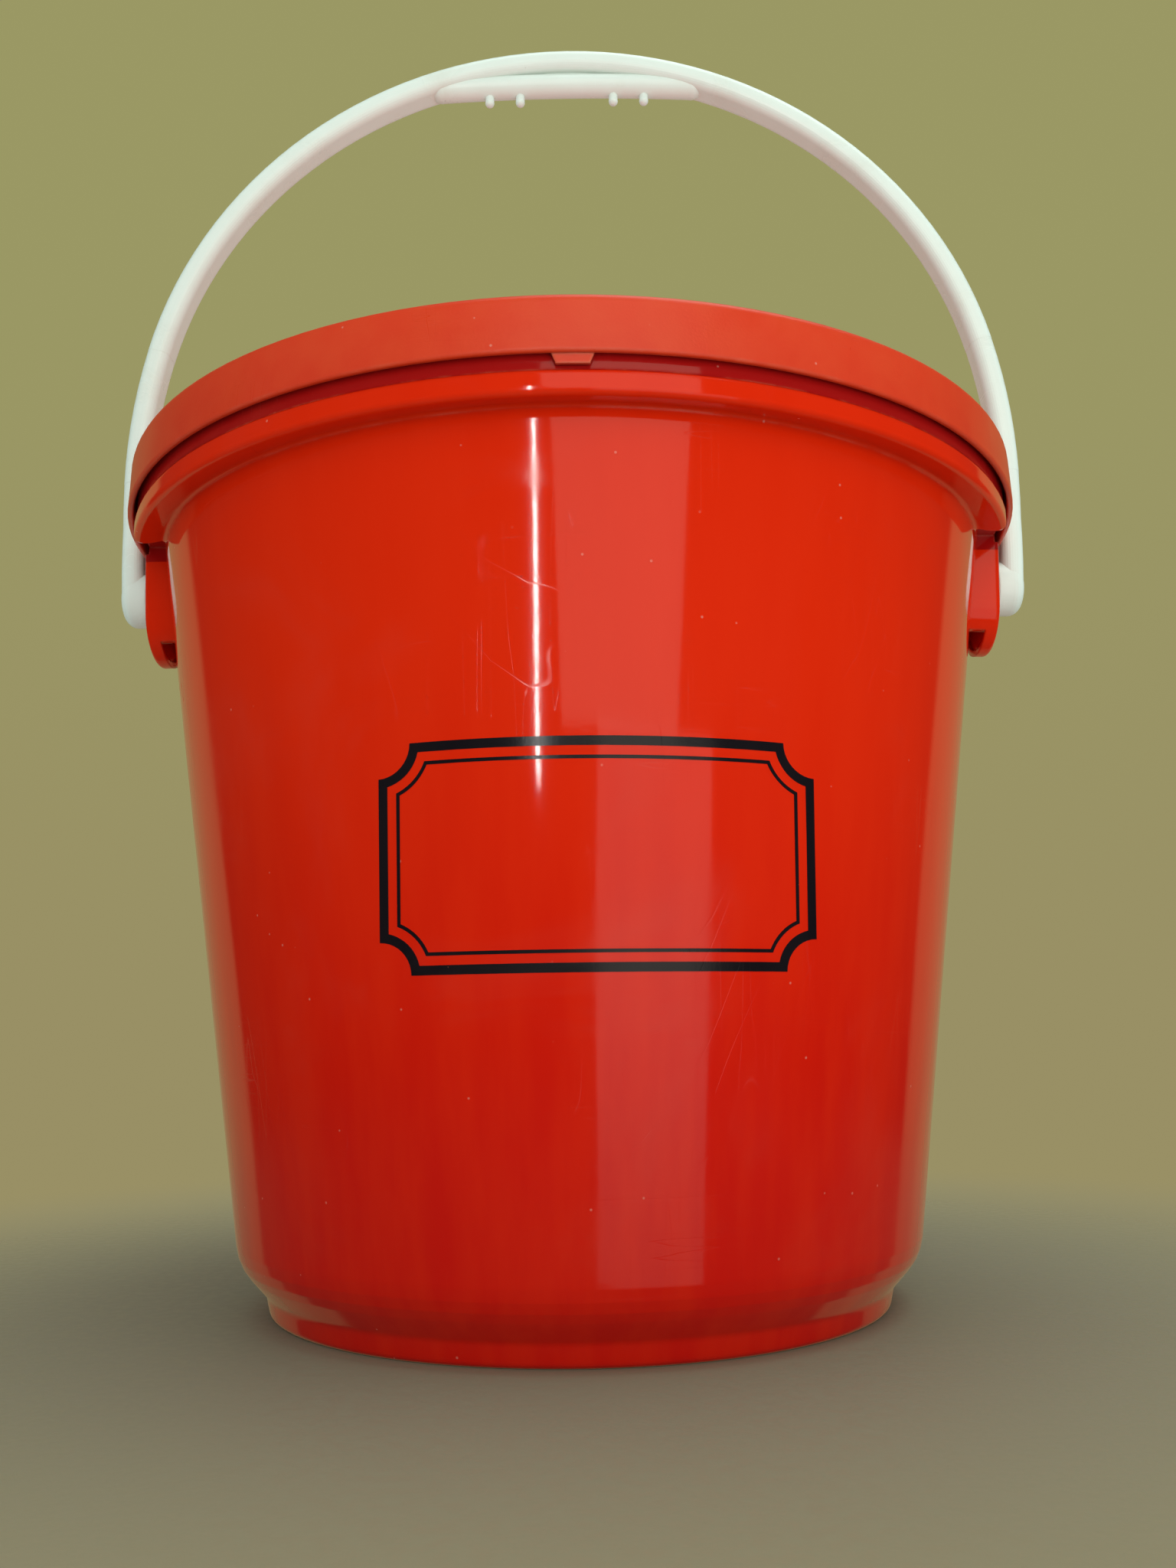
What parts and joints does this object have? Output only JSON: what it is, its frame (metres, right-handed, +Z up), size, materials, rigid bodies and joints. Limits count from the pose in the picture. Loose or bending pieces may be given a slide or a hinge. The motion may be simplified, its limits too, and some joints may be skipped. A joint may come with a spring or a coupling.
{
  "type": "fire bucket",
  "caption": "Red plastic fire bucket with a lift-off lid and a white bail handle that swings on pegs in two hollow lugs below the rim.",
  "frame": {"origin": "middle of the foot ring, on the ground", "axes": "+Z up; +X along the handle's pivot, through the right-hand lug; -Y faces the front, where the lid's catch is"},
  "size_m": [0.3204, 0.3, 0.451],
  "materials": {
    "body_plastic": "gloss red moulding",
    "lid_plastic": "satin red moulding",
    "handle_plastic": "ivory white moulding"
  },
  "bodies": {
    "bucket": {"bucket": "body_plastic"},
    "lid": {"lid": "lid_plastic"},
    "handle": {"handle": "handle_plastic"}
  },
  "joints": [
    {"name": "handle_swing", "type": "hinge", "parent": "bucket", "child": "handle", "pos_m": [0, 0, 0.2355], "axis": [1, 0, 0], "range_deg": [-140, 140]},
    {"name": "lid_lift", "type": "slide", "parent": "bucket", "child": "lid", "axis": [0, 0, 1], "range_m": [0, 0.03]}
  ]
}
